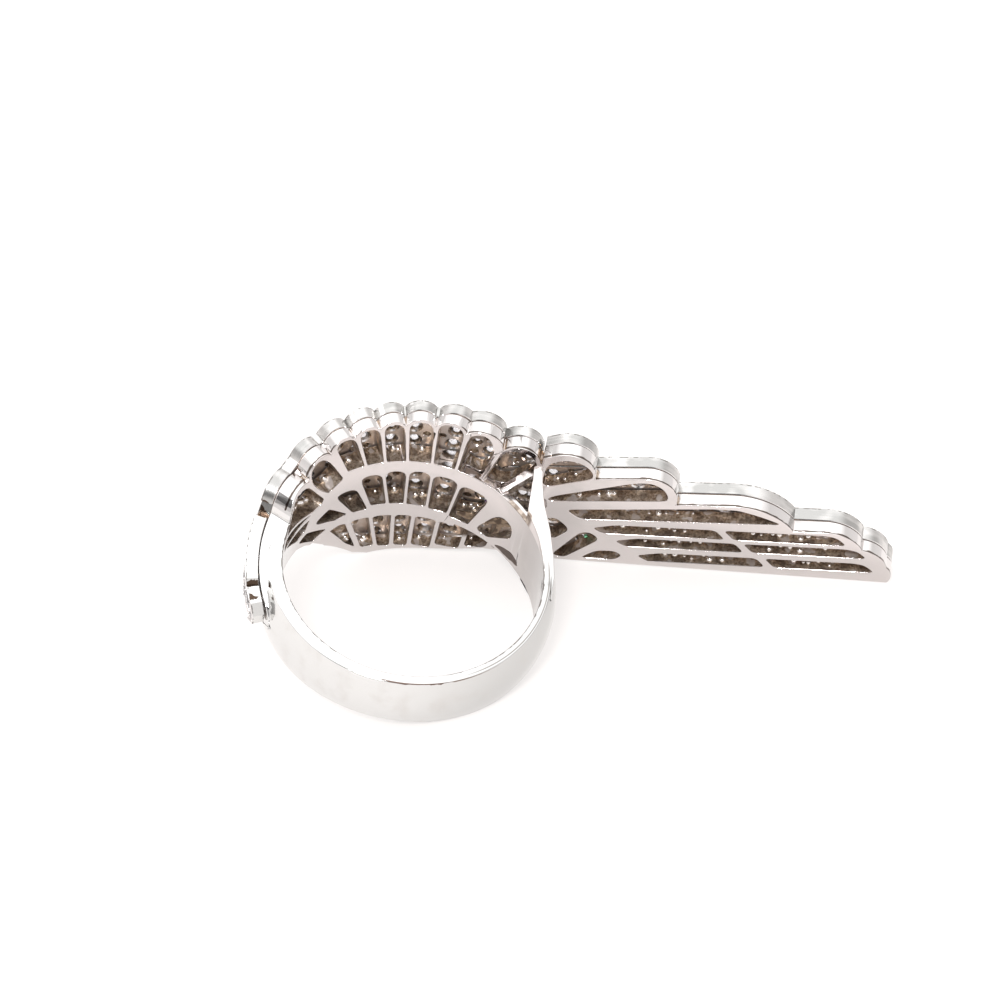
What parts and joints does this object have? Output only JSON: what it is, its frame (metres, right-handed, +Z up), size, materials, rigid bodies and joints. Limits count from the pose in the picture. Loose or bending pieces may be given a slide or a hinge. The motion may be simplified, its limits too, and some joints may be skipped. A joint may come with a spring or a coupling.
{
  "type": "feather ring",
  "caption": "Wing-shaped finger ring in white metal: a band carries an openwork gallery under overlapping feather plates that reach out beside the finger.",
  "frame": {"origin": "on the finger hole's axis, halfway along the hole's narrowest wall", "axes": "+Z up from the table that the ring rests on, +X along the straight wing towards its tip, +Y towards the head of the wing; the finger hole's axis leans 20.5 degrees from +Z"},
  "size_m": [0.0429, 0.023, 0.0143],
  "materials": {
    "polished_white_gold": "polished, rhodium plated",
    "paved_white_gold": "paved with small round colourless stones"
  },
  "bodies": {
    "root": {"shank_and_gallery": "polished_white_gold", "covert_tier_1": "paved_white_gold", "covert_tier_2": "paved_white_gold", "covert_tier_3": "paved_white_gold", "wrist_coverts": "paved_white_gold", "primary_1": "paved_white_gold", "primary_2": "paved_white_gold", "primary_3": "paved_white_gold", "primary_4": "paved_white_gold", "primary_5": "paved_white_gold", "primary_6": "paved_white_gold"}
  },
  "joints": []
}
